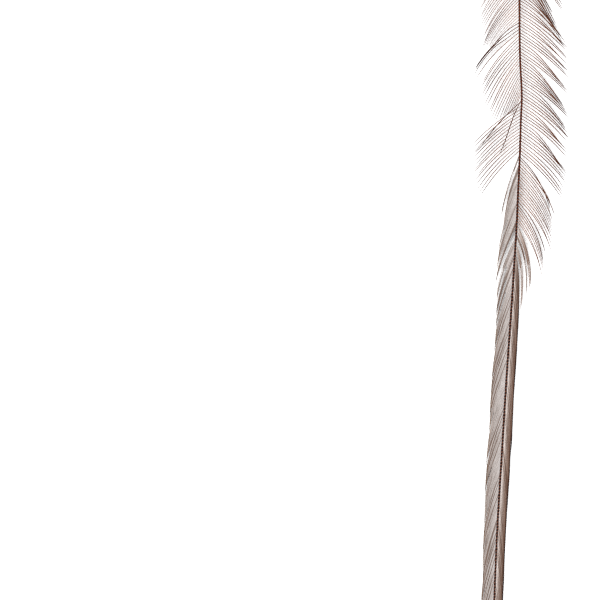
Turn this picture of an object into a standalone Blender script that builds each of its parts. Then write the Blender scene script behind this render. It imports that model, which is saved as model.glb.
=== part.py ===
"""A long, narrow hackle feather lying on a flat surface, as one solid.

The quill lies along Y with its bare butt towards +Y and the feather's tip towards -Y. From the butt
down: a bare quill, a tuft of down, barbs splayed out to both sides in locks, and a closed vane whose
barbs lie almost along the stem. Stations are distances in millimetres from the butt, down the feather.
"""

import math

import bmesh
import bpy
import numpy as np

MM = 0.001

# Driving dimensions, in millimetres.
FEATHER_LENGTH = 174.6
STEM_END = 172.5
BARB_LENGTH = 8.4
BARB_PITCH = 0.42
BOX_MIDDLE_X = 0.61

# The stem's sideways bend, the height of its middle above the surface and its radius, each at a station.
STEM_BEND = [
    (0, 1.1), (12, 0.6), (25, 0.15), (35, 0.0), (43, 0.08), (48.3, 0.3), (51, 0.18), (55, 0.07),
    (61, -0.2), (65.5, -0.4), (70.3, -0.7), (75, -1.0), (85, -1.7), (95, -2.32), (105, -2.93),
    (115, -3.35), (130, -3.7), (150, -3.55), (165, -3.0), (FEATHER_LENGTH, -2.5),
]
STEM_HEIGHT = [
    (0, 0.56), (10, 0.63), (22, 0.8), (35, 0.9), (70, 0.85), (115, 0.8), (145, 0.6),
    (FEATHER_LENGTH, 0.25),
]
STEM_RADIUS = [
    (0, 0.38), (1.5, 0.5), (8, 0.5), (14, 0.38), (22, 0.26), (35, 0.185), (70, 0.15), (115, 0.12),
    (150, 0.08), (STEM_END, 0.045), (FEATHER_LENGTH, 0.04),
]
STEM_STEP = 3.0
STEM_SIDES_RESOLUTION = 2

# Locks of barbs: the stations of the first and the last root, the angle from the stem at the root and
# at the tip in degrees, and how far the tips gather to a point, from 0 to 1.
RIGHT_LOCKS = [
    (30.8, 34.4, 56, 31, 0.88), (35.0, 36.4, 60, 44, 0.35), (36.8, 38.5, 60, 44, 0.5),
    (38.9, 39.8, 60, 40, 0.8), (40.2, 41.5, 60, 40, 0.8), (41.9, 45.0, 58, 36, 0.9),
    (45.4, 47.6, 61, 42, 0.8), (48.0, 49.3, 60, 41, 0.4), (49.7, 51.2, 58, 40, 0.75),
    (51.6, 52.3, 56, 38, 0.9), (52.7, 56.1, 54, 35, 0.35), (56.5, 59.1, 50, 30, 0.5),
    (59.5, 62.4, 46, 27, 0.15), (62.8, 64.8, 42, 20, 0.5), (65.2, 65.9, 24, 0, 0.8),
    (66.3, 66.8, 20, -1, 0.9), (67.2, 68.2, 14, -2, 0.6),
]
LEFT_LOCKS = [
    (32.0, 34.9, 47, 24, 0.2), (35.3, 37.9, 48, 27, 0.3), (38.3, 39.4, 52, 42, 0.85),
    (39.8, 41.4, 52, 36, 0.2), (41.8, 43.0, 48, 33, 0.2), (43.4, 45.0, 42, 28, 0.1),
    (45.4, 47.9, 33, 21, 0.2), (48.4, 49.0, 49, 36, 0.9), (49.4, 51.3, 61, 36, 0.15),
    (51.7, 53.4, 58, 34, 0.1), (53.8, 55.2, 54, 30, 0.2), (55.7, 60.4, 18, 9, 0.1),
    (60.8, 65.4, 18, 9, 0.55),
]
# From the down to the first of those, the locks are alike: their angles and gathering follow a rule.
UPPER_FIRST, UPPER_LAST, UPPER_STEP = 16.4, 30.4, 2.35
UPPER_ANGLES = [(16, 66, 46), (24, 60, 42), (31, 54, 34)]
UPPER_GATHER = (0.35, 0.7, 0.5)
LOCK_THICKNESS = 0.2
LOCK_CROWN = 0.12
LOCK_ROOT_RISE = 0.04
LOCK_TIP_HEIGHT = 0.26
LOCK_ARCH = 0.35
LOCK_POINTS = 7
BLADE_LEAST_HALF = 0.09

# The down below the bare quill: soft, long, wavy barbs in plump tufts.
DOWN_FIRST, DOWN_LAST, DOWN_TUFTS = 7.6, 16.0, 5
DOWN_LENGTH = 10.6
DOWN_ANGLES = (78, 38)
DOWN_WAVE = 0.35
DOWN_NARROWING = 0.45
DOWN_TIP_HEIGHT = 1.2
DOWN_ARCH = 2.6
DOWN_CROWN = 0.5
DOWN_THICKNESS = 0.5

# The closed vane: its widths left and right of the stem at a station, and the saw teeth of its edges,
# where the tips of its barbs end.
VANE_LEFT = [
    (65.8, 0.1), (68, 0.55), (71.5, 1.35), (75, 1.84), (95, 1.86), (115, 1.6), (140, 1.3),
    (160, 0.9), (FEATHER_LENGTH, 0.12),
]
VANE_RIGHT = [
    (65.8, 0.08), (68.6, 0.12), (71, 0.55), (74, 0.95), (85, 1.05), (95, 1.2), (115, 1.15),
    (140, 1.0), (160, 0.75), (FEATHER_LENGTH, 0.1),
]
VANE_FIRST, VANE_LAST = 65.8, FEATHER_LENGTH
TOOTH_PITCH = 3.1
TOOTH_DEPTH = 0.09
TOOTH_ROWS = (0.0, 0.55, 0.93)
EDGE_HEIGHT = 0.13
RIDGE_DROP = 0.06
ROOF_COLUMNS = (-1.0, -0.5, 0.0, 0.5, 1.0)

FEATHER_COLOUR = (0.155, 0.105, 0.078, 1.0)
FEATHER_ROUGHNESS = 0.5


def through(points, at):
    """The smooth curve through hand-set points: cubic pieces whose slopes are the central differences."""
    station, value = np.array(points, float).T
    slope = np.gradient(value, station)
    k = np.clip(np.searchsorted(station, at) - 1, 0, len(station) - 2)
    step = station[k + 1] - station[k]
    t = np.clip((at - station[k]) / step, 0, 1)
    return (
        (1 + 2 * t) * (1 - t) ** 2 * value[k]
        + t * (1 - t) ** 2 * step * slope[k]
        + t**2 * (3 - 2 * t) * value[k + 1]
        - t**2 * (1 - t) * step * slope[k + 1]
    )


def world(x, station, z):
    """Points in metres from a sideways place, a station and a height in millimetres."""
    return np.stack([x - BOX_MIDDLE_X, FEATHER_LENGTH / 2 - station, z], axis=-1) * MM


def barb_line(root, side, root_angle, tip_angle, length, count):
    """A barb's heading, station and sideways place along its length. Its angle from the stem turns evenly."""
    t = np.linspace(0, 1, count)
    heading = np.radians(root_angle + (tip_angle - root_angle) * t)
    middle = (heading[1:] + heading[:-1]) / 2
    step = length / (count - 1)
    down = np.concatenate([[0], np.cumsum(np.cos(middle))]) * step
    out = np.concatenate([[0], np.cumsum(np.sin(middle))]) * step
    return t, heading, root + down, through(STEM_BEND, root) + side * out


def blade(t, heading, station, x, z, side, half, crown):
    """Three lines of points along a barb: itself, raised by the crown, and one to either side of it.

    The side lines are moved along the stem by the half width, and squarely away from the barb by a least
    half width, so that a blade that runs along the stem keeps some width.
    """
    shift = np.array([-1.0, 0.0, 1.0])
    along = station[:, None] + shift * (half + BLADE_LEAST_HALF * np.sin(heading))[:, None]
    across = x[:, None] - shift * side * (BLADE_LEAST_HALF * np.cos(heading))[:, None]
    return world(across, along, z[:, None] + (1 - shift**2) * crown[:, None])


def add_strip(shape, rows):
    """Adds a grid of points to a bmesh as an open surface: rows along the strip, columns across it."""
    lines, columns = rows.shape[:2]
    grid = bmesh.ops.create_grid(shape, x_segments=columns - 1, y_segments=lines - 1, size=0.5)
    for vert in grid["verts"]:
        column = round((vert.co.x + 0.5) * (columns - 1))
        line = round((vert.co.y + 0.5) * (lines - 1))
        vert.co = rows[line, column]


def lock_rows(side, first, last, root_angle, tip_angle, gather):
    """A lock's upper surface: it starts inside the stem, arches, and comes down to the feather's rest.

    Its half width shrinks towards the tip by the share that its barbs gather.
    """
    root = (first + last) / 2
    t, heading, station, x = barb_line(root, side, root_angle, tip_angle, BARB_LENGTH, LOCK_POINTS)
    root_height = through(STEM_HEIGHT, root) + LOCK_ROOT_RISE
    z = root_height + (LOCK_TIP_HEIGHT - root_height) * t**1.5 + LOCK_ARCH * t * (1 - t)
    half = (last - first) / 2 * (1 - gather * t)
    return blade(t, heading, station, x, z, side, half, LOCK_CROWN * (1 - t))


def upper_locks():
    """The locks between the down and the listed ones, in even steps along the stem."""
    station, root_angle, tip_angle = zip(*UPPER_ANGLES)
    for k, first in enumerate(np.arange(UPPER_FIRST, UPPER_LAST, UPPER_STEP)):
        yield (
            first,
            min(first + UPPER_STEP - BARB_PITCH, UPPER_LAST),
            np.interp(first, station, root_angle),
            np.interp(first, station, tip_angle),
            UPPER_GATHER[k % len(UPPER_GATHER)],
        )


def down_rows(side, root, tuft):
    """The upper surface of a tuft of down: a barb that sways to and fro, swollen midway along it."""
    t, heading, station, x = barb_line(root, side, *DOWN_ANGLES, DOWN_LENGTH, LOCK_POINTS)
    station = station + DOWN_WAVE * np.sin(2 * math.pi * (t + tuft / DOWN_TUFTS)) * t
    root_height = through(STEM_HEIGHT, root) + DOWN_THICKNESS / 2
    z = root_height + (DOWN_TIP_HEIGHT - root_height) * t + DOWN_ARCH * t * (1 - t)
    half = ((DOWN_LAST - DOWN_FIRST) / DOWN_TUFTS - BARB_PITCH) / 2 * (1 - DOWN_NARROWING * t)
    return blade(t, heading, station, x, z, side, half, DOWN_CROWN * np.sin(math.pi * t))


def roof_rows():
    """The top of the closed vane: a low roof whose ridge is the stem and whose edges have saw teeth."""
    starts = np.arange(VANE_FIRST, VANE_LAST - TOOTH_PITCH / 2, TOOTH_PITCH)
    station = np.append((starts[:, None] + np.array(TOOTH_ROWS) * TOOTH_PITCH).ravel(), VANE_LAST)
    station = np.minimum(station, VANE_LAST)
    tooth = (station - VANE_FIRST) % TOOTH_PITCH / TOOTH_PITCH
    share = 1 - TOOTH_DEPTH * (1 - tooth)
    left = through(VANE_LEFT, station) * share
    right = through(VANE_RIGHT, station) * share
    column = np.array(ROOF_COLUMNS)
    reach = np.where(column < 0, left[:, None], right[:, None]) * column
    ridge = through(STEM_HEIGHT, station) - RIDGE_DROP
    z = ridge[:, None] + (EDGE_HEIGHT - ridge[:, None]) * np.abs(column)
    x = through(STEM_BEND, station)[:, None] + reach
    return world(x, np.repeat(station[:, None], len(column), axis=1), z)


def mesh_object(name, shape, collection):
    mesh = bpy.data.meshes.new(name)
    shape.to_mesh(mesh)
    shape.free()
    made = bpy.data.objects.new(name, mesh)
    collection.objects.link(made)
    return made


def add_blade(name, rows, thickness, collection):
    """One lock or tuft: a strip of surface through the rows of points, with a thickness below it."""
    shape = bmesh.new()
    add_strip(shape, rows)
    turn_up(shape)
    made = mesh_object(name, shape, collection)
    wall = made.modifiers.new("thickness", "SOLIDIFY")
    wall.thickness = thickness * MM
    wall.offset = -1
    return made


def add_locks(collection):
    """Every lock of the splayed barbs, a thin blade each."""
    for side, name, listed in ((1, "right", RIGHT_LOCKS), (-1, "left", LEFT_LOCKS)):
        before = [lock for lock in upper_locks() if lock[1] < listed[0][0]]
        for k, lock in enumerate(before + listed):
            add_blade(f"lock_{name}_{k:02d}", lock_rows(side, *lock), LOCK_THICKNESS, collection)


def add_down(collection):
    """The tufts of down on both sides of the stem, just below the bare quill."""
    step = (DOWN_LAST - DOWN_FIRST) / DOWN_TUFTS
    for side, name in ((1, "right"), (-1, "left")):
        for tuft in range(DOWN_TUFTS):
            rows = down_rows(side, DOWN_FIRST + (tuft + 0.5) * step, tuft)
            add_blade(f"down_{name}_{tuft}", rows, DOWN_THICKNESS, collection)


def turn_up(shape):
    """Turns every face that points down, so that a thickness grows downwards."""
    shape.normal_update()
    bmesh.ops.reverse_faces(shape, faces=[face for face in shape.faces if face.normal.z < 0])
    shape.normal_update()


def add_stem(collection):
    """The quill and stem: a round tapering tube along the bend, made a mesh so that it can be joined."""
    station = np.append(np.arange(0, STEM_END, STEM_STEP), STEM_END)
    station = np.insert(station, 1, STEM_STEP / 2)
    points = world(through(STEM_BEND, station), station, through(STEM_HEIGHT, station))
    line = bpy.data.curves.new("stem_line", "CURVE")
    line.dimensions = "3D"
    line.bevel_depth = MM
    line.bevel_resolution = STEM_SIDES_RESOLUTION
    line.use_fill_caps = True
    spline = line.splines.new("POLY")
    spline.points.add(len(points) - 1)
    for point, place, radius in zip(spline.points, points, through(STEM_RADIUS, station)):
        point.co = (*place, 1)
        point.radius = radius
    tube = bpy.data.objects.new("stem_line", line)
    collection.objects.link(tube)
    bpy.context.view_layer.update()
    mesh = bpy.data.meshes.new_from_object(tube.evaluated_get(bpy.context.evaluated_depsgraph_get()))
    bpy.data.objects.remove(tube)
    shape = bmesh.new()
    shape.from_mesh(mesh)
    bpy.data.meshes.remove(mesh)
    bmesh.ops.remove_doubles(shape, verts=shape.verts, dist=0.001 * MM)
    bmesh.ops.recalc_face_normals(shape, faces=shape.faces)
    for face in shape.faces:
        face.smooth = True
    return mesh_object("stem", shape, collection)


def add_vane(collection):
    """The closed vane as a solid: its roof, carried down to a flat underside on the surface."""
    shape = bmesh.new()
    add_strip(shape, roof_rows())
    turn_up(shape)
    sides = bmesh.ops.extrude_face_region(shape, geom=shape.faces[:], use_keep_orig=True)
    for vert in (item for item in sides["geom"] if isinstance(item, bmesh.types.BMVert)):
        vert.co.z = 0
    bmesh.ops.recalc_face_normals(shape, faces=shape.faces)
    return mesh_object("hackle_feather", shape, collection)


def join(made, collection):
    """Makes one closed body of an object and every shape in a collection, which stay as guides only."""
    for shape in collection.objects:
        shape.hide_render = True
        shape.display_type = "WIRE"
    union = made.modifiers.new("join", "BOOLEAN")
    union.operation = "UNION"
    union.operand_type = "COLLECTION"
    union.collection = collection
    union.solver = "EXACT"


def feather_material():
    material = bpy.data.materials.new("dun_keratin")
    material.use_nodes = True
    shader = material.node_tree.nodes["Principled BSDF"]
    shader.inputs["Base Color"].default_value = FEATHER_COLOUR
    shader.inputs["Roughness"].default_value = FEATHER_ROUGHNESS
    shader.inputs["Metallic"].default_value = 0.0
    return material


def main():
    for old in list(bpy.data.objects):
        bpy.data.objects.remove(old)
    feather_collection = bpy.data.collections.new("dry_fly_hackle_feather")
    guides = bpy.data.collections.new("joined_shapes")
    for collection in (feather_collection, guides):
        bpy.context.scene.collection.children.link(collection)
    add_stem(guides)
    add_locks(guides)
    add_down(guides)
    feather = add_vane(feather_collection)
    join(feather, guides)
    feather.data.materials.append(feather_material())


main()
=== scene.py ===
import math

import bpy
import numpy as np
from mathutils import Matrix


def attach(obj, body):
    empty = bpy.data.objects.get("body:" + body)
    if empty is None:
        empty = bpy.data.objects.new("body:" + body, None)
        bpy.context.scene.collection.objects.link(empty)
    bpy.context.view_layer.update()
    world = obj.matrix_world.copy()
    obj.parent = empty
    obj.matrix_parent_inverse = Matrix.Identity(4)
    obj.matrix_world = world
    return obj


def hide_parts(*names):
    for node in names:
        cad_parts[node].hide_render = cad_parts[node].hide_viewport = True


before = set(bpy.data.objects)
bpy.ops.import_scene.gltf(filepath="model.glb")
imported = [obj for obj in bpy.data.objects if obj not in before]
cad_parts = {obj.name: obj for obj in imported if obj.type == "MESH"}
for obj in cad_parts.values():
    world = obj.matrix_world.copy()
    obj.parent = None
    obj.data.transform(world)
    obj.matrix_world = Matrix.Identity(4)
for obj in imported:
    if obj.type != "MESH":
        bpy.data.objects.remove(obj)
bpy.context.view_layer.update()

# The looks of a dun saddle hackle feather, barb by barb, lying on a pale surface.
#
# Lengths are in millimetres until they reach a mesh. A station is the distance down the feather from the
# end of its butt, out is the distance sideways from the stem, and side is 1 to the right and -1 to the left
# of the stem, seen from above with the butt at the top. Along is a place on a barb, from 0 at its root to 1
# at its tip, and t is the same before the barb is cut to its length. Angles are in degrees from the stem,
# towards the feather's tip. A tone is 0 or less for a dark barb and 1 or more for a pale one.

MM = 0.001

# The frame's own measures, as its source names them.
FEATHER_LENGTH = 174.6
STEM_END = 172.5
BARB_LENGTH = 8.4
BOX_MIDDLE_X = 0.61
EDGE_HEIGHT = 0.13
RIDGE_DROP = 0.06
STEM_BEND = [
    (0, 1.1), (12, 0.6), (25, 0.15), (35, 0.0), (43, 0.08), (48.3, 0.3), (51, 0.18), (55, 0.07),
    (61, -0.2), (65.5, -0.4), (70.3, -0.7), (75, -1.0), (85, -1.7), (95, -2.32), (105, -2.93),
    (115, -3.35), (130, -3.7), (150, -3.55), (165, -3.0), (FEATHER_LENGTH, -2.5),
]
STEM_HEIGHT = [
    (0, 0.56), (10, 0.63), (22, 0.8), (35, 0.9), (70, 0.85), (115, 0.8), (145, 0.6),
    (FEATHER_LENGTH, 0.25),
]
STEM_RADIUS = [
    (0, 0.2), (0.5, 0.36), (1.5, 0.47), (8, 0.49), (14, 0.36), (22, 0.23), (35, 0.145), (60, 0.13),
    (75, 0.13), (115, 0.12), (150, 0.08), (STEM_END, 0.04), (FEATHER_LENGTH, 0.035),
]
DOWN_FIRST, DOWN_LAST, DOWN_LENGTH = 7.6, 16.0, 10.6

# Barbs: how far apart their roots are, how thick they are, how high their tips lie and how much they arch.
BARB_PITCH = 0.425
BARB_HALF_WIDTH = 0.067
BARB_FLATNESS = 0.8
TIP_HEIGHT = 0.16
TIP_UNEVENNESS = 0.05
BARB_ARCH = 0.35
# How far splayed barbs sway to and fro at most, and in how many waves.
SWAY = 0.05
SWAY_WAVES = (0.5, 1.4)
# How finely each barb is drawn, and how much its points crowd towards the root.
BARB_POINTS = 13
BARB_SIDES = 4
ROOT_CROWDING = 1.2
# A barb's path is worked out at this many points, and somewhat past its end, so that it can be cut to its
# length.
PATH_POINTS = 31
SPLAYED_PATH_END = 1.3
CLOSED_PATH_END = 1.1
DOWN_PATH_END = 1.15

# How the splayed barbs stand: at a root's station, their angle at the root and at the tip.
RIGHT_STAND = [
    (16, 66, 50), (24, 63, 46), (28.5, 61, 42), (30.4, 60, 33), (34.9, 61, 33), (35.4, 60, 43),
    (52, 60, 43), (54, 57, 39), (55.6, 54, 37), (55.8, 47, 20), (57.0, 48, 23), (58.5, 47, 24),
    (60, 46, 25), (61.7, 46, 24), (62.0, 41, 17), (63, 39, 18), (64.6, 37, 19),
]
LEFT_STAND = [
    (16, 66, 48), (24, 60, 40), (31, 49, 27), (34.0, 47, 24), (35.6, 49, 28), (36.6, 50, 31),
    (37.6, 53, 31), (38.0, 61, 33), (39.3, 56, 34), (39.8, 48, 31), (41.2, 47, 30), (42.3, 43, 25),
    (43.8, 37, 19), (45, 32, 18), (47.1, 25, 17), (48.1, 24, 16), (49.0, 61, 40), (51.0, 60, 37),
    (53.5, 57, 33), (55.4, 52, 24),
]
# Where their tips cling together: the first and the last root, the share of the way between them where
# the tips meet, how closely, and the places along the barbs where it starts and is whole.
RIGHT_CLINGS = [
    (16.4, 18.6, 0.6, 0.5, 0.4, 1), (19.0, 21.4, 0.8, 0.7, 0.5, 1), (22.2, 23.6, 0.4, 0.6, 0.5, 1),
    (24.4, 27.4, 0.9, 0.8, 0.4, 1), (27.8, 29.2, 0.6, 0.7, 0.5, 1), (31.2, 35.0, 1.0, 0.8, 0.1, 0.85),
    (35.3, 36.6, 0.8, 0.85, 0.15, 1), (37.2, 37.8, 0.7, 0.9, 0.2, 1), (38.0, 38.7, 0.7, 0.9, 0.2, 0.9),
    (38.9, 39.5, 0.7, 0.9, 0.25, 0.9), (39.8, 40.4, 0.8, 0.9, 0.2, 0.9),
    (40.6, 42.2, 0.95, 0.88, 0.2, 0.95), (42.5, 45.0, 1.0, 0.88, 0.15, 0.95),
    (46.0, 47.2, 1.0, 0.88, 0.25, 0.95), (48.0, 48.4, 0.6, 0.8, 0.4, 1),
    (49.0, 50.1, 0.9, 0.92, 0.25, 0.9), (51.0, 52.9, 0.97, 0.9, 0.2, 0.9),
    (53.3, 53.8, 0.6, 0.7, 0.5, 1), (55.7, 56.8, 0.0, 0.6, 0.3, 1),
]
LEFT_CLINGS = [
    (16.4, 19.0, 0.6, 0.6, 0.4, 1), (20.2, 22.2, 0.6, 0.7, 0.5, 1), (23.8, 26.0, 0.7, 0.7, 0.4, 1),
    (27.0, 28.4, 0.5, 0.7, 0.5, 1), (30.2, 31.0, 0.5, 0.7, 0.6, 1), (32.4, 33.2, 0.5, 0.7, 0.6, 1),
    (35.0, 35.6, 0.5, 0.7, 0.6, 1), (37.9, 39.3, 0.45, 0.97, 0.2, 0.55), (39.5, 40.1, 0.5, 0.7, 0.5, 1),
    (40.8, 41.4, 0.5, 0.6, 0.6, 1), (50.0, 50.6, 0.5, 0.6, 0.6, 1), (52.0, 52.6, 0.5, 0.6, 0.5, 1),
]
# Splayed barbs that are darker or paler than the rest: first and last root, and change of tone. The darker
# ones are a little thicker too, and the paler ones finer.
RIGHT_TINTS = [
    (31.2, 35.0, -0.1), (40.6, 45.0, 0.15), (51.0, 52.9, -0.1), (55.7, 56.3, -0.6),
    (57.0, 61.7, 0.35), (61.9, 62.3, -0.4), (62.5, 64.6, 0.4),
]
LEFT_TINTS = [
    (16, 33, 0.3), (33.1, 34.8, 0.1), (34.9, 37.8, 0.7), (37.9, 39.3, -0.6), (39.4, 42.4, -0.1),
    (43.4, 47.7, 0.15),
]
# How thick the barbs are on each side, as a share of a barb's half width.
RIGHT_FINENESS = 1.0
LEFT_FINENESS = 0.95
# The first and last roots of the splayed barbs, and the stretch of stem on each side that has lost them.
SPLAYED_FIRST = 16.4
RIGHT_SPLAYED_LAST = 64.6
LEFT_SPLAYED_LAST = 55.3
RIGHT_GAP = (0, 0)
LEFT_GAP = (47.6, 49.1)
# How much splayed barbs differ: the spread of their angles at the root and the tip, how the angle midway
# is mixed from those two, the ranges of their length and width, and how far their roots stray.
ROOT_ANGLE_SPREAD, TIP_ANGLE_SPREAD = 0.5, 0.8
MIDDLE_MIX = (0.48, 0.52)
LENGTH_RANGE = (0.95, 1.02)
WIDTH_RANGE = (0.88, 1.1)
ROOT_JITTER = 0.03
# Their tone: the shares that it has in common with its neighbours and of its own, and how many neighbours.
TONE_MIX = (0.55, 0.45)
TONE_REACH = 2.5
# How much paler a worn barb gets, and how a tint of -1 thickens a barb, and one of 1 thins it.
WORN_PALENESS = 0.6
TINT_THICKENING, TINT_THINNING = 0.3, 0.7
# Where the left barbs are worn short: at a root's station, their share of the full length.
LEFT_SHORT = [
    (34.8, 1.0), (35.8, 0.84), (36.8, 0.7), (37.7, 0.66), (37.9, 1.0), (43.0, 1.0), (44.0, 0.95),
    (45.4, 0.72), (46.4, 0.5), (47.6, 0.35), (49.0, 1.0),
]
# Loose barbs that cross the others: side, root, angle at the root, midway and at the tip, and tone. They
# are a little shorter and thicker than the rest, and arch higher so that they lie over the others.
LOOSE_BARBS = [
    (-1, 48.3, 33, 16, 24, -0.2), (-1, 48.5, 50, 41, 30, -0.2), (1, 30.2, 42, 34, 34, 0.3),
]
LOOSE_LENGTH = 0.93
LOOSE_THICKNESS = 1.15
LOOSE_ARCH = 0.6

# How the closed barbs lie: at a root's station, how far out their tips reach, and how early they turn to
# run beside the stem, where 1 is a straight barb and 3 turns early.
LEFT_LIE = [
    (55.5, 2.14, 1.35), (56.0, 2.12, 1.35), (56.1, 1.58, 1.85), (57.5, 1.7, 1.7), (59.1, 1.92, 1.6),
    (60, 2.08, 1.5), (62, 2.2, 1.4), (64.7, 2.3, 1.35), (66.2, 1.98, 1.9), (68, 1.92, 1.65),
    (70, 1.9, 1.4), (74, 1.84, 1.4), (90, 1.84, 1.42), (98, 1.76, 1.45), (107, 1.58, 1.45),
    (132, 1.32, 1.45), (152, 0.91, 1.4), (163, 0.52, 1.3), (168, 0.3, 1.3), (STEM_END, 0.08, 1.3),
]
RIGHT_LIE = [
    (64.8, 2.42, 2.0), (65.7, 2.28, 2.1), (66.0, 1.96, 2.5), (66.6, 1.9, 2.6), (67.0, 1.5, 3.0),
    (68.2, 1.32, 3.2), (68.3, 1.0, 3.0), (70, 1.12, 2.2), (72, 1.17, 1.7), (78, 1.22, 1.55),
    (86, 1.29, 1.5), (94, 1.27, 1.5), (107, 1.25, 1.5), (132, 1.03, 1.5), (152, 0.76, 1.5),
    (163, 0.44, 1.5), (168, 0.26, 1.4), (STEM_END, 0.08, 1.3),
]
# The last closed barb's root and the last bunch's first root lie before these stations.
CLOSED_LAST = STEM_END - 1.2
BUNCH_LAST = STEM_END - 2
# Stretches of stem without a closed barb, where the surface shows as a white slit.
LEFT_CLOSED_GAPS = [(55.95, 56.4), (64.9, 66.5), (67.7, 67.9), (69.4, 69.6), (71.1, 71.3)]
RIGHT_CLOSED_GAPS = [(66.7, 67.1)]
# The closed barbs hold together in bunches: the first root of each, the place along the barbs to where it
# still holds to the bunch before, and to where its own barbs hold together. Past the listed ones, they
# run on to the tip in uneven steps, and hold to places within BUNCH_HOLD and WEB_REACH.
LEFT_BUNCHES = [
    (55.5, 0, 0.3), (56.1, 0, 0.8), (58.0, 0.45, 0.9), (60.9, 0.5, 0.9), (63.2, 0.6, 0.95),
    (66.1, 0, 0.85), (66.9, 0.6, 0.9), (68.2, 0.35, 0.9), (69.9, 0.35, 0.9), (71.6, 0.4, 0.95),
]
RIGHT_BUNCHES = [
    (64.8, 0, 0.7), (65.9, 0, 0.5), (67.0, 0.1, 0.4), (68.3, 0.1, 0.95), (72.0, 0.7, 0.95),
]
BUNCH_HOLD = (0.6, 0.88)
WEB_REACH = (0.84, 0.97)
LEFT_BUNCH_STEP = (1.6, 5.0)
RIGHT_BUNCH_STEP = (3.0, 7.0)
# How closely the tips of a bunch draw together, at least and at most, from where along a barb, and over
# how much of it.
LEFT_PULL = (0.1, 0.5)
RIGHT_PULL = (0.05, 0.2)
PULL_BEGINS, PULL_RUN = 0.3, 0.8
# Where along a bunch its tips meet, as a share of the stretch that its roots take up.
MEETING_RANGE = (0.3, 0.9)
# The barbs before this root stand apart from the rest of the closed vane, and take its middle colours: the
# place on the ramp of the first, and the share of the ramp that they run through.
LEFT_PARTED = 0
RIGHT_PARTED = 68.3
PARTED_COLOURS = (0.25, 0.45)
# The share of its length that a closed barb runs down the feather. Towards the feather's tip the barbs get
# shorter: the length of the last, the share of the way to the end that the others reach, and how far from
# the end they all stop.
DOWN_SHARE = 0.985
LAST_LENGTH, LENGTH_SHARE = 0.2, 0.93
END_CLEARANCE = 0.05
# How uneven the vane's edge is, as a share of its reach, how much its barbs rise and fall, and over how many
# barbs each changes.
EDGE_UNEVENNESS, EDGE_REACH = 0.1, 6
LIFT, LIFT_REACH = 0.05, 4
# One closed barb in so many, apart from a share that is skipped, is darker and thicker than its
# neighbours, and shows as a streak. The tones are picked evenly between two ends.
STREAK_STEP = 3
STREAK_SKIPPED = 0.25
STREAK_TONE = (-0.7, 0.0)
STREAK_WIDENING = 1.5
PLAIN_TONE = (0.55, 1.05)
# Closed barbs that are darker or paler than the rest: first and last root, and change of tone.
LEFT_TONES = [(55.4, 56.0, -0.35), (56.5, 57.7, -0.6), (58.8, 59.7, -0.2), (64.0, 65.6, -0.8),
              (66.4, 67.5, -0.35), (69.0, 69.2, -0.4), (70.7, 70.9, -0.4)]
RIGHT_TONES = [(64.8, 65.75, 0.9), (65.85, 66.9, -0.5), (67.0, 68.25, 0.3), (68.3, 71.0, -0.6)]
# At its tip the vane narrows to a point: half its width at the very end, and its slope on either side.
TIP_HALF_WIDTH = 0.03
TIP_SLOPE = 0.12
# The webs between closed barbs, and how much finer those barbs are than the splayed ones.
WEB_THICKNESS = 0.024
WEB_DROP = 0.03
WEB_TONE = 0.75
CLOSED_NARROWING = 0.6

# Barbules: how long they are, and how far apart they stand along a barb.
HOOKLET_LENGTH, HOOKLET_PITCH = 0.14, 0.3
DOWN_HOOKLET_LENGTH, DOWN_HOOKLET_PITCH = 0.75, 0.12
HOOKLET_HALF_WIDTH = 0.007
# Where along a barb they begin, the share of it that they take up, and where in its own step each stands.
HOOKLETS_BEGIN, HOOKLETS_RUN = 0.05, 0.8
HOOKLET_PLACE = (0.2, 0.8)
# The ranges of their angle from the barb, of how far they tip down or up, and of their length.
HOOKLET_ANGLES = (30, 48)
HOOKLET_TIPPING = (-0.15, 0.1)
HOOKLET_LENGTH_RANGE = (0.7, 1.2)

# The down: how far apart its barbs are, how finely each is drawn, and how thick it is.
DOWN_PITCH = 0.24
DOWN_POINTS = 20
DOWN_HALF_WIDTH = 0.026
DOWN_FLATNESS = 0.9
DOWN_WIDTH_RANGE = (0.85, 1.15)
# The share of the full length that the first barbs have, what the later ones gain on it, and the range of
# each one's own length.
DOWN_SHORTEST, DOWN_GAIN = 0.62, 0.33
DOWN_LENGTH_RANGE = (0.85, 1.0)
# The angle of the first barb at its root, how much less the last one's is, the angle at the tip, and how
# far a barb's own angles differ from these.
DOWN_ROOT_ANGLE, DOWN_ROOT_TURN, DOWN_TIP_ANGLE = 84, 12, 40
DOWN_ROOT_SPREAD, DOWN_TIP_SPREAD = (-5, 5), (-14, 10)
# Its barbs sway in two waves at once: the number of waves along a barb, and their size in degrees. That
# number differs from barb to barb by a factor in a range.
DOWN_WAVES = ((1.2, 16), (2.7, 12))
DOWN_WAVE_RANGE = (0.8, 1.2)
# How low and how high the tips lie, how much the barbs arch, and how low and how high they may be.
DOWN_TIP_RANGE = (0.35, 1.4)
DOWN_ARCH_RANGE = (-0.5, 1.5)
DOWN_HEIGHT_RANGE = (0.12, 2.0)

# The stem: the corners of its round, and its radius between the barbs' roots and what it gains at a root.
STEM_SIDES = 10
STEM_WAIST, STEM_SWELLING = 0.95, 0.14
RANDOM_SEED = 14


def through(points, at):
    """The smooth curve through listed points: cubic pieces, their slopes the central differences."""
    table = np.array(points, float)
    station, value = table[:, 0], table[:, 1]
    slope = np.gradient(value, station)
    k = np.clip(np.searchsorted(station, at) - 1, 0, len(station) - 2)
    step = station[k + 1] - station[k]
    t = np.clip((at - station[k]) / step, 0, 1)
    return (
        (1 + 2 * t) * (1 - t) ** 2 * value[k]
        + t * (1 - t) ** 2 * step * slope[k]
        + t**2 * (3 - 2 * t) * value[k + 1]
        - t**2 * (1 - t) * step * slope[k + 1]
    )


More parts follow.
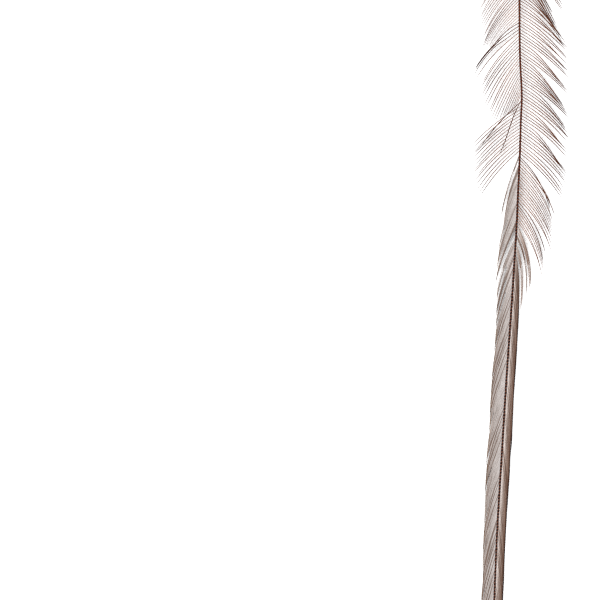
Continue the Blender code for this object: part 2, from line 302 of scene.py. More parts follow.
def read_off(points, at, column):
    """The value in a column of listed points, along straight lines between their stations."""
    table = np.array(points, float)
    return np.interp(at, table[:, 0], table[:, column])


def smooth(value):
    """Rises from 0 to 1 with level ends: 3 v^2 - 2 v^3 of the value held between 0 and 1."""
    v = np.clip(value, 0, 1)
    return v * v * (3 - 2 * v)


def drift(count, reach, rng):
    """Random numbers from 0 to 1 in a row, each near its neighbours: smooth steps between one random
    number for every reach of them."""
    at = np.arange(count) / reach
    knots = rng.uniform(0, 1, int(at[-1]) + 2)
    k = at.astype(int)
    return knots[k] + (knots[k + 1] - knots[k]) * smooth(at - k)


def place(station, x, z):
    """Points in metres in the frame, from a station, a sideways place and a height in millimetres."""
    station, x, z = np.broadcast_arrays(station, x, z)
    return np.stack([x - BOX_MIDDLE_X, FEATHER_LENGTH / 2 - station, z], axis=-1) * MM


def part_mesh(points, faces, values):
    """Part of a piece: its points, faces (arrays of quads or of triangles) and values at each point."""
    return {"points": points.reshape(-1, 3), "faces": faces, "values": values}


def new_piece(name, parts, finish):
    """One mesh object in the frame, from parts put together, with their values as attributes."""
    first = np.cumsum([0] + [len(part["points"]) for part in parts])
    faces = [array + start for part, start in zip(parts, first) for array in part["faces"]]
    corners = np.concatenate([array.ravel() for array in faces])
    sizes = np.concatenate([np.full(len(array), array.shape[1]) for array in faces])
    mesh = bpy.data.meshes.new(name)
    mesh.vertices.add(first[-1])
    mesh.vertices.foreach_set("co", np.concatenate([part["points"] for part in parts]).ravel())
    mesh.loops.add(len(corners))
    mesh.loops.foreach_set("vertex_index", corners)
    mesh.polygons.add(len(sizes))
    mesh.polygons.foreach_set("loop_start", np.concatenate([[0], np.cumsum(sizes)[:-1]]))
    mesh.update(calc_edges=True)
    for key in parts[0]["values"]:
        values = np.concatenate([part["values"][key].ravel() for part in parts])
        mesh.attributes.new(key, "FLOAT", "POINT").data.foreach_set("value", values)
    mesh.shade_smooth()
    mesh.materials.append(finish)
    piece = bpy.data.objects.new(name, mesh)
    bpy.context.scene.collection.objects.link(piece)
    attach(piece, "root")
    return piece


def frames(lines):
    """The directions across and up at every point of many lines at once, where across is level."""
    along = np.gradient(lines, axis=1)
    along /= np.linalg.norm(along, axis=2, keepdims=True)
    across = np.cross(along, [0.0, 0.0, 1.0])
    across /= np.linalg.norm(across, axis=2, keepdims=True)
    return across, np.cross(across, along)


def strands(lines, half_width, flatness, sides, values):
    """Closed tapering tubes along many lines at once.

    Each ring is the line's point + half width * (cos a * across + flatness * sin a * up). A point at
    either end closes the tube. Values are given for each line, or for each of its points.
    """
    count, rows = lines.shape[:2]
    across, up = frames(lines)
    angle = (np.arange(sides) + 0.5) * 2 * math.pi / sides
    ring = (
        np.cos(angle)[:, None] * across[:, :, None, :]
        + flatness * np.sin(angle)[:, None] * up[:, :, None, :]
    )
    tube = lines[:, :, None, :] + half_width[:, :, None, None] * MM * ring
    points = np.concatenate([tube.reshape(count, rows * sides, 3), lines[:, :1], lines[:, -1:]], axis=1)

    row, side = np.meshgrid(np.arange(rows - 1), np.arange(sides), indexing="ij")
    after = (side + 1) % sides
    here, beyond = row * sides, (row + 1) * sides
    quads = np.stack([here + side, here + after, beyond + after, beyond + side], axis=-1).reshape(-1, 4)
    edge = np.arange(sides)
    next_edge = (edge + 1) % sides
    last = (rows - 1) * sides
    start_point = np.full(sides, rows * sides)
    ends = np.concatenate(
        [
            np.stack([start_point, next_edge, edge], axis=-1),
            np.stack([start_point + 1, last + edge, last + next_edge], axis=-1),
        ]
    )
    first = (np.arange(count) * (rows * sides + 2))[:, None, None]
    spread = {}
    for key, value in values.items():
        value = np.broadcast_to(value, (count, rows))
        rings = np.repeat(value, sides, axis=1)
        spread[key] = np.concatenate([rings, value[:, :1], value[:, -1:]], axis=1)
    return part_mesh(points, [(quads + first).reshape(-1, 4), (ends + first).reshape(-1, 3)], spread)


def web(lines, kept, thickness, values):
    """The thin webs that hold barbs together: a closed sheet across the lines, wherever it is kept.

    Its two faces lie half the thickness above and below the lines, as a grid with one row for each
    line, and a wall closes every border between a quad that is kept and one that isn't.
    """
    count, rows = lines.shape[:2]
    up = np.array([0, 0, thickness / 2 * MM])
    points = np.stack([lines + up, lines - up])
    top, under = np.arange(2 * count * rows).reshape(2, count, rows)
    corners = [(slice(0, -1), slice(0, -1)), (slice(0, -1), slice(1, None)),
               (slice(1, None), slice(1, None)), (slice(1, None), slice(0, -1))]
    wide = np.pad(kept, 1)
    beside = [wide[:-2, 1:-1], wide[1:-1, 2:], wide[2:, 1:-1], wide[1:-1, :-2]]
    quads = [np.stack([top[c][kept] for c in corners], axis=-1)]
    quads.append(np.stack([under[c][kept] for c in reversed(corners)], axis=-1))
    for a, b, neighbour in zip(corners, corners[1:] + corners[:1], beside):
        border = kept & ~neighbour
        wall = (top[a][border], under[a][border], under[b][border], top[b][border])
        quads.append(np.stack(wall, axis=-1))
    quads = np.concatenate(quads)
    a, b, c = (lines[0, 0], lines[0, 1], lines[1, 1])
    if np.cross(b - a, c - a)[2] < 0:
        quads = quads[:, ::-1]
    spread = {key: np.broadcast_to(value, (2, count, rows)) for key, value in values.items()}
    return part_mesh(points, [quads], spread)


def spikes(base, direction, length, half_width, values):
    """Many small closed spikes: a triangle across the base, and a tip at base + length * direction."""
    across = np.cross(direction, [0.0, 0.0, 1.0])
    across /= np.linalg.norm(across, axis=-1, keepdims=True)
    up = np.cross(across, direction)
    wide = half_width * MM
    corners = [base + wide * (math.cos(a) * across + math.sin(a) * up) for a in (0.5, 2.6, 4.7)]
    points = np.stack(corners + [base + length[..., None] * MM * direction], axis=-2).reshape(-1, 4, 3)
    shape = np.array([(0, 1, 3), (1, 2, 3), (2, 0, 3), (0, 2, 1)])
    faces = (shape[None] + 4 * np.arange(len(points))[:, None, None]).reshape(-1, 3)
    spread = {}
    for key, value in values.items():
        spread[key] = np.repeat(np.broadcast_to(value, base.shape[:-1]).ravel(), 4)
    return part_mesh(points, [faces], spread)


def even_length(lines, length, rows):
    """Points by true length along many lines, from their starts to a length for each.

    Along is even steps from 0 to 1, to the power ROOT_CROWDING, so that the points are closer near the
    root.
    """
    steps = np.linalg.norm(np.diff(lines, axis=1), axis=2)
    run = np.concatenate([np.zeros((len(lines), 1)), np.cumsum(steps, axis=1)], axis=1)
    along = np.linspace(0, 1, rows) ** ROOT_CROWDING
    want = along[None, :] * np.minimum(length * MM, run[:, -1:])
    k = np.clip((run[:, None, :] < want[:, :, None]).sum(axis=2) - 1, 0, lines.shape[1] - 2)
    before = np.take_along_axis(run, k, axis=1)
    after = np.take_along_axis(run, k + 1, axis=1)
    share = ((want - before) / (after - before))[:, :, None]
    start = np.take_along_axis(lines, k[:, :, None], axis=1)
    end = np.take_along_axis(lines, k[:, :, None] + 1, axis=1)
    return start + (end - start) * share, along[None, :]


def cling(root, t, clings):
    """How far the tips move along the stem to cling together: for the barbs of each listed group, (the
    station where they meet - the root) * how closely * smooth(share of the way from start to whole)."""
    move = np.zeros((len(root), t.shape[1]))
    for first, last, share, strength, start, whole in clings:
        inside = (root >= first - 0.01) & (root <= last + 0.01)
        meet = first + share * (last - first)
        move += inside * (meet - root) * strength * smooth((t - start) / (whole - start))
    return move


def walked(heading, step):
    """How far down and out a path gets that takes steps of one length with a turning heading: the running
    sums of step * cos and step * sin of the heading halfway along each step."""
    between = (heading[:, 1:] + heading[:, :-1]) / 2
    zero = np.zeros((len(heading), 1))
    down = np.concatenate([zero, np.cumsum(np.cos(between), axis=1)], axis=1) * step
    out = np.concatenate([zero, np.cumsum(np.sin(between), axis=1)], axis=1) * step
    return down, out


def swept(side, root, angles, move, length, arch, rng):
    """The middle lines of splayed barbs.

    A barb's heading is the parabola through its angles at the root, midway and the tip. The barb sways a
    little, and its height falls from the stem's to the tip's as t^1.5, with a low arch.
    """
    t = np.linspace(0, SPLAYED_PATH_END, PATH_POINTS)[None, :]
    start, middle, end = angles
    turn = np.clip(t, 0, 1)
    heading = np.radians(
        start * (1 - turn) * (1 - 2 * turn) + middle * 4 * turn * (1 - turn) + end * turn * (2 * turn - 1)
    )
    down, out = walked(heading, SPLAYED_PATH_END * length / (PATH_POINTS - 1))
    sway = rng.uniform(0.0, SWAY, root.shape) * np.sin(
        2 * math.pi * (rng.uniform(*SWAY_WAVES, root.shape) * t + rng.uniform(0, 1, root.shape))
    )
    station = root + down + move(t) + sway * t
    top = through(STEM_HEIGHT, root)
    fall = np.clip(t, 0, 1)
    z = top + (TIP_HEIGHT - top) * fall**1.5 + arch * fall * (1 - fall)
    z = z + rng.uniform(-TIP_UNEVENNESS, TIP_UNEVENNESS, root.shape) * fall
    x = through(STEM_BEND, root) * (1 - fall) + through(STEM_BEND, station) * fall + side * out
    return even_length(place(station, x, z), length, BARB_POINTS)


def barb_taper(along):
    """A barb's half width: flared where it leaves the stem, fullest midway, and fine at its tip.

    It is (0.7 + 0.3 * smooth(2 * along)) * (1 - 0.75 * along^8) + 0.4 * e^(-50 * along) of the full one.
    """
    even = 0.7 + 0.3 * smooth(along / 0.5)
    flare = 0.4 * BARB_HALF_WIDTH * np.exp(-along / 0.02)
    return BARB_HALF_WIDTH * even * (1 - 0.75 * along**8) + flare


def hooklets(lines, along, length, pitch, tone, rng):
    """The short stiff barbules on both sides of every barb, pointing forward and outward.

    Their bases are in even steps along the barb, each a little off its place, and their directions are
    forward * cos a + across * sin a on either side, tipped a little down or up. They shorten towards the
    barb's tip as 1.15 - the place along it.
    """
    steps = int(BARB_LENGTH / pitch)
    at = (np.arange(steps)[None, :] + rng.uniform(*HOOKLET_PLACE, (len(lines), steps))) / steps
    at = HOOKLETS_BEGIN + HOOKLETS_RUN * at
    k = np.clip((along[:, None, :] < at[:, :, None]).sum(axis=2) - 1, 0, along.shape[1] - 2)
    before = np.take_along_axis(np.broadcast_to(along, lines.shape[:2]), k, axis=1)
    after = np.take_along_axis(np.broadcast_to(along, lines.shape[:2]), k + 1, axis=1)
    share = ((at - before) / (after - before))[:, :, None]
    start = np.take_along_axis(lines, k[:, :, None], axis=1)
    end = np.take_along_axis(lines, k[:, :, None] + 1, axis=1)
    base = start + (end - start) * share
    forward = end - start
    forward /= np.linalg.norm(forward, axis=2, keepdims=True)
    across = np.cross(forward, [0.0, 0.0, 1.0])
    across /= np.linalg.norm(across, axis=2, keepdims=True)
    made = []
    for hand in (-1, 1):
        angle = np.radians(rng.uniform(*HOOKLET_ANGLES, at.shape))[:, :, None]
        direction = np.cos(angle) * forward + hand * np.sin(angle) * across
        direction[:, :, 2] += rng.uniform(*HOOKLET_TIPPING, at.shape)
        direction /= np.linalg.norm(direction, axis=2, keepdims=True)
        reach = length * (1.15 - at) * rng.uniform(*HOOKLET_LENGTH_RANGE, at.shape)
        values = {"tone": np.broadcast_to(tone, at.shape), "along": at}
        made.append(spikes(base, direction, reach, HOOKLET_HALF_WIDTH, values))
    return made


def change_of_tone(root, listed):
    """The sum of the listed changes at each root: first and last root, and the change between them."""
    change = np.zeros(root.shape)
    for first, last, step in listed:
        change = change + step * ((root >= first) & (root <= last))
    return change


def splayed_barbs(side, name, stand, clings, tints, fineness, last, gap, rng, finish):
    """The barbs that stand out from the upper stem on one side, with those that have come loose.

    Each barb's tone is partly its neighbours' and partly its own, and a worn barb is paler and finer.
    """
    root = np.arange(SPLAYED_FIRST, last + 0.01, BARB_PITCH)
    root = root[(root < gap[0]) | (root > gap[1])][:, None]
    start = read_off(stand, root, 1) + rng.normal(0, ROOT_ANGLE_SPREAD, root.shape)
    end = read_off(stand, root, 2) + rng.normal(0, TIP_ANGLE_SPREAD, root.shape)
    middle = start * MIDDLE_MIX[0] + end * MIDDLE_MIX[1]
    common = drift(len(root), TONE_REACH, rng)[:, None]
    tone = TONE_MIX[0] * common + TONE_MIX[1] * rng.uniform(0, 1, root.shape)
    length = BARB_LENGTH * rng.uniform(*LENGTH_RANGE, root.shape)
    short = read_off(LEFT_SHORT, root, 1) if side < 0 else np.ones(root.shape)
    length = length * short
    tint = change_of_tone(root, tints)
    tone = tone + WORN_PALENESS * (1 - short) + tint
    jitter = rng.uniform(-ROOT_JITTER, ROOT_JITTER, root.shape)
    lines, along = swept(
        side, root + jitter, (start, middle, end), lambda t: cling(root, t, clings), length, BARB_ARCH, rng
    )
    loose = np.array([row[1:] for row in LOOSE_BARBS if row[0] == side]).T[:, :, None]
    extra, _ = swept(
        side, loose[0], loose[1:4], lambda t: 0 * t, BARB_LENGTH * LOOSE_LENGTH, LOOSE_ARCH, rng
    )
    lines = np.concatenate([lines, extra])
    tone = np.concatenate([tone, loose[4]])
    fine = fineness * (0.5 + 0.5 * short) * (1 + TINT_THICKENING * np.maximum(-tint, 0))
    fine = fine * (1 - TINT_THINNING * np.maximum(tint, 0) * smooth(along / 0.7))
    fine = np.concatenate([fine, np.full((len(extra), BARB_POINTS), LOOSE_THICKNESS)])
    half_width = barb_taper(along) * fine * rng.uniform(*WIDTH_RANGE, tone.shape)
    values = {"tone": tone, "along": along}
    parts = [strands(lines, half_width, BARB_FLATNESS, BARB_SIDES, values)]
    along = np.broadcast_to(along, lines.shape[:2])
    parts += hooklets(lines, along, HOOKLET_LENGTH, HOOKLET_PITCH, tone, rng)
    return new_piece(name, parts, finish)


def bunch_list(listed, step, rng):
    """The first root and the holds of every bunch of closed barbs: the listed ones, then uneven steps."""
    first, hold, inside = zip(*listed)
    more = first[-1] + np.cumsum(rng.uniform(*step, 200))
    more = more[more < BUNCH_LAST]
    hold = np.append(hold, rng.uniform(*BUNCH_HOLD, len(more)))
    return np.append(first, more), hold, np.append(inside, rng.uniform(*WEB_REACH, len(more)))


def closed_barbs(side, name, lie, bunches, gaps, parted, tones, pulls, rng, finish):
    """The closed vane on one side: barbs that lie almost along the stem, held in bunches by thin webs.

    Out is the reach * (1 - (1 - t)^bend), down is the barb's length * DOWN_SHARE * t, and the height
    falls evenly from the stem's to the edge's with the share of the reach. The tips of a bunch draw
    together a little.
    Near the feather's tip, out is held inside the slope that closes the vane. Across, from 0 at the stem
    to 1 at the edge, is the share of the reach, and carries the colour, painted light and shade included.
    """
    starts, holds, inside = bunches
    root = np.arange(lie[0][0], CLOSED_LAST, BARB_PITCH)
    for low, high in gaps:
        root = root[(root < low) | (root > high)]
    root = root[:, None]
    group = np.searchsorted(starts, root[:, 0] + 0.01) - 1
    first = starts[group][:, None]
    after = np.append(starts[1:], STEM_END)[group][:, None]
    t = np.linspace(0, CLOSED_PATH_END, PATH_POINTS)[None, :]
    reach = read_off(lie, root, 1)
    bend = read_off(lie, root, 2)
    length = np.minimum(BARB_LENGTH, LAST_LENGTH + (FEATHER_LENGTH - root) * LENGTH_SHARE)
    pull = rng.uniform(*pulls, len(starts))[group][:, None]
    meet = first + (after - first) * rng.uniform(*MEETING_RANGE, len(starts))[group][:, None]
    held = np.clip(t, 0, 1)
    station = root + t * length * DOWN_SHARE + (meet - root) * pull * smooth((t - PULL_BEGINS) / PULL_RUN)
    station = np.minimum(station, FEATHER_LENGTH - END_CLEARANCE)
    out = reach * (1 - (1 - held) ** bend)
    out = out * (1 + EDGE_UNEVENNESS * (drift(len(root), EDGE_REACH, rng)[:, None] - 0.5) * t)
    out = np.minimum(out, TIP_HALF_WIDTH + TIP_SLOPE * (FEATHER_LENGTH - station))
    ridge = through(STEM_HEIGHT, station) - RIDGE_DROP
    lift = LIFT * (drift(len(root), LIFT_REACH, rng)[:, None] - 0.5)
    z = ridge + (EDGE_HEIGHT - ridge) * (1 - (1 - held) ** bend) + lift * held
    path = place(station, through(STEM_BEND, station) + side * out, z)
    lines, along = even_length(path, length, BARB_POINTS)

    across = np.broadcast_to(1 - (1 - along) ** bend, lines.shape[:2])
    across = np.where(root < parted, PARTED_COLOURS[0] + PARTED_COLOURS[1] * across, across)
    change = change_of_tone(root, tones)
    streak = np.arange(len(root))[:, None] + rng.integers(0, 2, root.shape)
    streak = (streak % STREAK_STEP == 0) & (rng.uniform(0, 1, root.shape) > STREAK_SKIPPED)
    dark, pale = rng.uniform(*STREAK_TONE, root.shape), rng.uniform(*PLAIN_TONE, root.shape)
    tone = np.where(streak, dark, pale) + change
    half_width = barb_taper(along) * CLOSED_NARROWING * np.where(streak, STREAK_WIDENING, 1)
    values = {"tone": tone, "along": along, "root": root, "across": across}
    parts = [strands(lines, half_width, BARB_FLATNESS, BARB_SIDES, values)]
    hold = np.where(group[1:] == group[:-1], inside[group[1:]], holds[group[1:]])
    kept = along[:, 1:] <= hold[:, None]
    values = {"tone": WEB_TONE + change, "along": along, "root": root, "across": across}
    values = {key: np.broadcast_to(value, lines.shape[:2]) for key, value in values.items()}
    parts.append(web(lines - [0, 0, WEB_DROP * MM], kept, WEB_THICKNESS, values))
    return new_piece(name, parts, finish)


def down_barbs(side, name, rng, finish):
    """The down: long, soft, waving barbs with fine long barbules, in an open cloud on one side.

    Each barb's heading turns evenly from its angle at the root to its angle at the tip, and sways to and
    fro as sines that grow along it. Its height runs from the stem's to the tip's in a low arch. Its half
    width is 0.35 + 0.65 * (1 - along^1.5) + 0.5 * e^(-along / 0.03) of the full one.
    """
    root = np.arange(DOWN_FIRST, DOWN_LAST + 1.2, DOWN_PITCH)[:, None]
    t = np.linspace(0, DOWN_PATH_END, PATH_POINTS)[None, :]
    share = (root - DOWN_FIRST) / (DOWN_LAST - DOWN_FIRST)
    length = DOWN_LENGTH * (DOWN_SHORTEST + DOWN_GAIN * smooth(share * 2.2))
    length = length * rng.uniform(*DOWN_LENGTH_RANGE, root.shape)
    start = DOWN_ROOT_ANGLE - DOWN_ROOT_TURN * share + rng.uniform(*DOWN_ROOT_SPREAD, root.shape)
    end = DOWN_TIP_ANGLE + rng.uniform(*DOWN_TIP_SPREAD, root.shape)
    heading = start + (end - start) * t
    for waves, size in DOWN_WAVES:
        turn = rng.uniform(0, 1, root.shape) + waves * rng.uniform(*DOWN_WAVE_RANGE, root.shape) * t
        heading = heading + size * np.sin(2 * math.pi * turn) * t
    down, out = walked(np.radians(heading), DOWN_PATH_END * length / (PATH_POINTS - 1))
    top = through(STEM_HEIGHT, root)
    arch = rng.uniform(*DOWN_ARCH_RANGE, root.shape)
    z = top + (rng.uniform(*DOWN_TIP_RANGE, root.shape) - top) * t + arch * t * (DOWN_PATH_END - t)
    z = np.clip(z, *DOWN_HEIGHT_RANGE)
    x = through(STEM_BEND, root) + side * out
    lines, along = even_length(place(root + down, x, z), length, DOWN_POINTS)
    tone = rng.uniform(0, 1, root.shape)
    half_width = DOWN_HALF_WIDTH * (0.35 + 0.65 * (1 - along**1.5) + 0.5 * np.exp(-along / 0.03))
    half_width = half_width * rng.uniform(*DOWN_WIDTH_RANGE, root.shape)
    parts = [strands(lines, half_width, DOWN_FLATNESS, BARB_SIDES, {"tone": tone, "along": along})]
    along = np.broadcast_to(along, lines.shape[:2])
    parts += hooklets(lines, along, DOWN_HOOKLET_LENGTH, DOWN_HOOKLET_PITCH, tone, rng)
    return new_piece(name, parts, finish)


def stem(finish):
    """A round tube along the stem from the rounded butt to the tip, swollen a little at each barb's root.

    The swelling is smooth(1.5 * bead), where bead = 0.5 + 0.5 * cos(2 pi * roots passed), and sets in
    where the splayed barbs do. The rings are closer at the rounded butt than along the bare quill, and
    after that there are six to every barb's root.
    """
    station = np.concatenate(
        [np.linspace(0, 1.5, 12), np.arange(1.8, 15.9, 0.3), np.arange(16, STEM_END, BARB_PITCH / 6)]
    )[None, :]
    lines = place(station, through(STEM_BEND, station), through(STEM_HEIGHT, station))
    bead = 0.5 + 0.5 * np.cos(2 * math.pi * (station - SPLAYED_FIRST) / BARB_PITCH)
    bead = smooth(1.5 * bead) * smooth((station - 15) / 4)
    radius = through(STEM_RADIUS, station) * (STEM_WAIST + STEM_SWELLING * bead)
    values = {"bead": bead, "station": station / FEATHER_LENGTH}
    parts = [strands(lines, radius, 1.0, STEM_SIDES, values)]
    return new_piece("stem", parts, finish)


def linear(hex_colour):
    """An sRGB hex colour as linear red, green, blue and alpha."""
    channels = [int(hex_colour[k : k + 2], 16) / 255 for k in (0, 2, 4)]
    return [c / 12.92 if c <= 0.04045 else ((c + 0.055) / 1.055) ** 2.4 for c in channels] + [1.0]


def add_node(tree, kind, settings=None, inputs=None):
    """Adds a node, sets its properties and inputs, and links an input where it is given a socket."""
    node = tree.nodes.new(kind)
    for key, value in (settings or {}).items():
        setattr(node, key, value)
    for key, value in (inputs or {}).items():
        if isinstance(value, bpy.types.NodeSocket):
            tree.links.new(value, node.inputs[key])
        else:
            node.inputs[key].default_value = value
    return node


def set_ramp(node, stops):
    """Puts colours on a ramp at places from 0 to 1."""
    points = node.color_ramp.elements
    while len(points) < len(stops):
        points.new(0.5)
    for point, (position, hex_colour) in zip(points, stops):
        point.position = position
        point.color = linear(hex_colour)


# What every barb is made of: keratin, with an IOR near 1.55. Its surface is all fine ridges and cells that
# scatter the light, so the eye sees a soft satin and no clear highlight.
KERATIN_IOR = 1.55
KERATIN_SPECULAR = 0.12
QUILL_SPECULAR = 0.08
QUILL_ROUGHNESS = 0.42
# How often the noise in the colour changes: per millimetre of roots, per barb's length, and with its tone.
STREAK_SCALE = (5.0, 5.0, 3.0)
NOISE_GAIN = 1.6
# Relief: how many times its noise changes per metre sideways, along the feather and upward, and how deep
# it goes in millimetres. A barb's ridges and cells are near 0.03 mm, and the quill's fine lines 0.05 mm.
BARB_RELIEF_SCALE = (30000, 12000, 30000)
BARB_RELIEF_DEPTH = 0.008
QUILL_RELIEF_SCALE = (20000, 1200, 20000)
QUILL_RELIEF_DEPTH = 0.01
RELIEF_STRENGTH = 0.6
ROUGHNESS_SPREAD = 0.1


def add_relief(tree, shader, scale, depth, roughness):
    """Fine ridges that run with the feather: noise on the object's own coordinates, coarser along the
    feather than across it, raises the surface by up to the depth and changes its roughness a little."""
    spot = add_node(tree, "ShaderNodeTexCoord")
    stretched = add_node(
        tree, "ShaderNodeVectorMath", {"operation": "MULTIPLY"}, {0: spot.outputs["Object"], 1: scale}
    )
    noise = add_node(
        tree, "ShaderNodeTexNoise", {},
        {"Vector": stretched.outputs["Vector"], "Scale": 1.0, "Detail": 3.0},
    )
    bump = add_node(
        tree, "ShaderNodeBump", {},
        {"Height": noise.outputs["Fac"], "Strength": RELIEF_STRENGTH, "Distance": depth * MM},
    )
    tree.links.new(bump.outputs["Normal"], shader.inputs["Normal"])
    rough = add_node(
        tree, "ShaderNodeMapRange", {},
        {
            "Value": noise.outputs["Fac"],
            "To Min": roughness - ROUGHNESS_SPREAD,
            "To Max": roughness + ROUGHNESS_SPREAD,
        },
    )
    tree.links.new(rough.outputs["Result"], shader.inputs["Roughness"])


def keratin(name, key, stops, streaks, roughness):
    """A grown keratin surface: a colour along an attribute, made darker and redder by streaks.

    The colour is the ramp's at the attribute, times a red, green and blue between the two in streaks,
    picked by the barb's own tone and by noise that is stretched along the barb.
    """
    material = bpy.data.materials.new(name)
    material.use_nodes = True
    tree = material.node_tree
    shader = tree.nodes["Principled BSDF"]
    shader.inputs["IOR"].default_value = KERATIN_IOR
    shader.inputs["Specular IOR Level"].default_value = KERATIN_SPECULAR
    place_on = add_node(tree, "ShaderNodeAttribute", {"attribute_name": key})
    ramp = add_node(tree, "ShaderNodeValToRGB", {}, {"Fac": place_on.outputs["Fac"]})
    set_ramp(ramp, stops)
    tone = add_node(tree, "ShaderNodeAttribute", {"attribute_name": "tone"})
    root = add_node(tree, "ShaderNodeAttribute", {"attribute_name": "root"})
    along = add_node(tree, "ShaderNodeAttribute", {"attribute_name": "along"})
    where = add_node(
        tree, "ShaderNodeCombineXYZ", {},
        {"X": root.outputs["Fac"], "Y": along.outputs["Fac"], "Z": tone.outputs["Fac"]},
    )
    stretched = add_node(
        tree, "ShaderNodeVectorMath", {"operation": "MULTIPLY"},
        {0: where.outputs["Vector"], 1: STREAK_SCALE},
    )
    noise = add_node(
        tree, "ShaderNodeTexNoise", {},
        {"Vector": stretched.outputs["Vector"], "Scale": 1.0, "Detail": 2.0},
    )
    either_way = add_node(
        tree, "ShaderNodeMath", {"operation": "MULTIPLY_ADD"},
        {0: noise.outputs["Fac"], 1: NOISE_GAIN, 2: -NOISE_GAIN / 2},
    )
    pick = add_node(
        tree, "ShaderNodeMath", {"operation": "ADD", "use_clamp": True},
        {0: tone.outputs["Fac"], 1: either_way.outputs["Value"]},
    )
    depth = add_node(
        tree, "ShaderNodeMix", {"data_type": "VECTOR"},
        {"Factor": pick.outputs["Value"], "A": streaks[0], "B": streaks[1]},
    )
    colour = add_node(
        tree, "ShaderNodeVectorMath", {"operation": "MULTIPLY"},
        {0: ramp.outputs["Color"], 1: depth.outputs["Result"]},
    )
    tree.links.new(colour.outputs["Vector"], shader.inputs["Base Color"])
    add_relief(tree, shader, BARB_RELIEF_SCALE, BARB_RELIEF_DEPTH, roughness)
    return material


def quill_finish():
    """Grown keratin, drawn out smooth: pale horn at the bare quill, brown where the down begins, and
    almost black-brown along the vane, with paler gaps between the roots of the barbs."""
    material = bpy.data.materials.new("grown_keratin_quill")
    material.use_nodes = True
    tree = material.node_tree
    shader = tree.nodes["Principled BSDF"]
    shader.inputs["IOR"].default_value = KERATIN_IOR
    shader.inputs["Specular IOR Level"].default_value = QUILL_SPECULAR
    station = add_node(tree, "ShaderNodeAttribute", {"attribute_name": "station"})
    solid = add_node(tree, "ShaderNodeValToRGB", {}, {"Fac": station.outputs["Fac"]})
    set_ramp(
        solid,
        [(0.0, "94866e"), (0.04, "98886c"), (0.08, "765a42"), (0.12, "4a2b1c"), (0.2, "38140a"),
         (0.36, "260c05"), (0.42, "160401"), (1.0, "220b04")],
    )
    gap = add_node(tree, "ShaderNodeValToRGB", {}, {"Fac": station.outputs["Fac"]})
    set_ramp(
        gap,
        [(0.0, "94866e"), (0.04, "98886c"), (0.08, "765a42"), (0.12, "5e3826"), (0.3, "5c2a18"),
         (0.36, "502614"), (0.42, "57301f"), (1.0, "5e3a2a")],
    )
    bead = add_node(tree, "ShaderNodeAttribute", {"attribute_name": "bead"})
    colour = add_node(
        tree, "ShaderNodeMix", {"data_type": "RGBA"},
        {"Factor": bead.outputs["Fac"], "A": gap.outputs["Color"], "B": solid.outputs["Color"]},
    )
    tree.links.new(colour.outputs["Result"], shader.inputs["Base Color"])
    add_relief(tree, shader, QUILL_RELIEF_SCALE, QUILL_RELIEF_DEPTH, QUILL_ROUGHNESS)
    return material


# The surface below: its radius in metres, linear grey and roughness. The light: the sky's strength, and
# the lamp's size, power, place and tilt in degrees.
FLOOR_RADIUS = 1.5
FLOOR_GREY = 0.92
FLOOR_ROUGHNESS = 0.9
SKY_STRENGTH = 1.25
LAMP_SIZE = 0.5
LAMP_ENERGY = 3.5
LAMP_PLACE = (-0.45, 0.15, 0.5)
LAMP_TILT = (-12, -42)


def floor_and_light():
    """A wide white card, an even bright sky all round, and one large soft lamp from the upper left."""
    bpy.ops.mesh.primitive_circle_add(
        vertices=64, radius=FLOOR_RADIUS, fill_type="NGON", location=(0, 0, 0)
    )
    floor = bpy.context.object
    floor.name = "floor"
    material = bpy.data.materials.new("white_card")
    material.use_nodes = True
    shader = material.node_tree.nodes["Principled BSDF"]
    shader.inputs["Base Color"].default_value = (FLOOR_GREY, FLOOR_GREY, FLOOR_GREY, 1)
    shader.inputs["Roughness"].default_value = FLOOR_ROUGHNESS
    floor.data.materials.append(material)
    world = bpy.data.worlds.new("studio")
    bpy.context.scene.world = world
    world.use_nodes = True
    world.node_tree.nodes["Background"].inputs["Color"].default_value = (1, 1, 1, 1)
    world.node_tree.nodes["Background"].inputs["Strength"].default_value = SKY_STRENGTH
    light = bpy.data.lights.new("window", "AREA")
    light.shape = "RECTANGLE"
    light.size = LAMP_SIZE
    light.size_y = LAMP_SIZE
    light.energy = LAMP_ENERGY
    lamp = bpy.data.objects.new("window", light)
    lamp.location = LAMP_PLACE
    lamp.rotation_euler = (math.radians(LAMP_TILT[0]), math.radians(LAMP_TILT[1]), 0)
    bpy.context.scene.collection.objects.link(lamp)
    bpy.context.scene.view_settings.view_transform = "Standard"


# The photograph's scale and size, where its top edge meets the stem, and the camera's long lens.
PIXELS_PER_MM = 7.5
PHOTO_SIZE = 600
STEM_PIXEL_X = 519.3
TOP_STATION = 35.0
LENS = 100.0
# The height above the surface at which the scale is true, near that of the stem.
TRUE_SCALE_HEIGHT = 0.7


def camera():
    """Looks straight down on the middle of the photograph, from where its whole width fits the view."""
    span = PHOTO_SIZE / PIXELS_PER_MM
    x = (PHOTO_SIZE / 2 - STEM_PIXEL_X) / PIXELS_PER_MM - BOX_MIDDLE_X
    y = FEATHER_LENGTH / 2 - TOP_STATION - span / 2
    data = bpy.data.cameras.new("camera")
    data.lens = LENS
    data.clip_start = 0.005
    data.clip_end = 20
    eye = bpy.data.objects.new("camera", data)
    eye.location = (x * MM, y * MM, (span * LENS / data.sensor_width + TRUE_SCALE_HEIGHT) * MM)
    bpy.context.scene.collection.objects.link(eye)
    bpy.context.scene.camera = eye


# How far the light of one pixel spreads, in pixels.
PIXEL_SPREAD = 1.2


def crisp_picture():
    """Barbs are thinner than a pixel, so nothing in the picture is smoothed away."""
    cycles = bpy.context.scene.cycles
    cycles.use_denoising = False
    cycles.filter_width = PIXEL_SPREAD


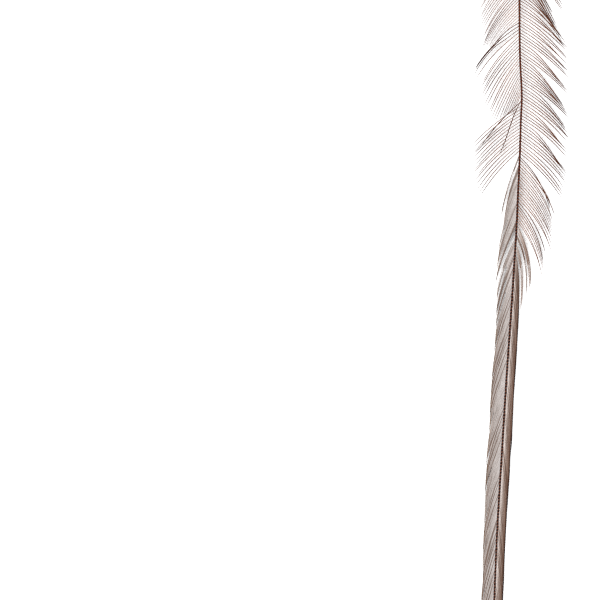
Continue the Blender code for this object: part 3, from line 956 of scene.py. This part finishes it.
def main():
    rng = np.random.default_rng(RANDOM_SEED)
    # Stiff barbs, grown one by one: bristles of nearly solid dark brown keratin with a satin shine, paler
    # and greyer near the stem.
    stiff = keratin(
        "grown_keratin_stiff_barbs", "along", [(0.0, "86624f"), (0.35, "6f4a36"), (1.0, "462415")],
        ((0.42, 0.3, 0.26), (1.28, 1.25, 1.22)), 0.5,
    )
    # The left half of the closed vane, seen from above: barbs hooked edge to edge into a matt grey cloth
    # with long fine streaks. Its grey is paler than the right half's as painted light, for the slope that
    # faces the lamp, and a little browner along its edge, partly where the barbs lie thickest and partly
    # as painted shade.
    left = keratin(
        "grown_keratin_closed_vane_left_painted_light", "across",
        [(0.0, "aca6a3"), (0.2, "a39c98"), (0.6, "9a928d"), (0.88, "928781"), (0.96, "75614f"),
         (1.0, "644e3f")],
        ((0.48, 0.37, 0.32), (1.32, 1.35, 1.38)), 0.55,
    )
    # The right half: the same cloth, darker as painted shade for the slope that turns away from the lamp.
    # It is pale beside the stem as painted light, and deepens through brown to an almost black edge,
    # partly where the barbs lie thickest and partly as painted shade.
    right = keratin(
        "grown_keratin_closed_vane_right_painted_shade", "across",
        [(0.0, "cac3bf"), (0.24, "cac3bf"), (0.36, "a0958e"), (0.52, "84736a"), (0.76, "735e52"),
         (0.88, "4e3426"), (0.95, "26110a"), (1.0, "26110a")],
        ((0.62, 0.5, 0.44), (1.32, 1.3, 1.3)), 0.55,
    )
    # The down: hair-fine keratin without stiffness, so thin that it looks like a pale grey mist.
    down = keratin(
        "grown_keratin_down", "along", [(0.0, "8c7c70"), (0.5, "968a80"), (1.0, "a39a92")],
        ((0.75, 0.72, 0.7), (1.2, 1.2, 1.2)), 0.6,
    )
    shaft = stem(quill_finish())
    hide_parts("hackle_feather")
    splayed_barbs(
        1, "splayed_barbs_right", RIGHT_STAND, RIGHT_CLINGS, RIGHT_TINTS, RIGHT_FINENESS,
        RIGHT_SPLAYED_LAST, RIGHT_GAP, rng, stiff,
    )
    splayed_barbs(
        -1, "splayed_barbs_left", LEFT_STAND, LEFT_CLINGS, LEFT_TINTS, LEFT_FINENESS, LEFT_SPLAYED_LAST,
        LEFT_GAP, rng, stiff,
    )
    bunches = bunch_list(LEFT_BUNCHES, LEFT_BUNCH_STEP, rng)
    closed_barbs(
        -1, "closed_vane_left", LEFT_LIE, bunches, LEFT_CLOSED_GAPS, LEFT_PARTED, LEFT_TONES, LEFT_PULL,
        rng, left,
    )
    bunches = bunch_list(RIGHT_BUNCHES, RIGHT_BUNCH_STEP, rng)
    closed_barbs(
        1, "closed_vane_right", RIGHT_LIE, bunches, RIGHT_CLOSED_GAPS, RIGHT_PARTED, RIGHT_TONES,
        RIGHT_PULL, rng, right,
    )
    down_barbs(1, "down_right", rng, down)
    down_barbs(-1, "down_left", rng, down)
    floor_and_light()
    camera()
    crisp_picture()


main()
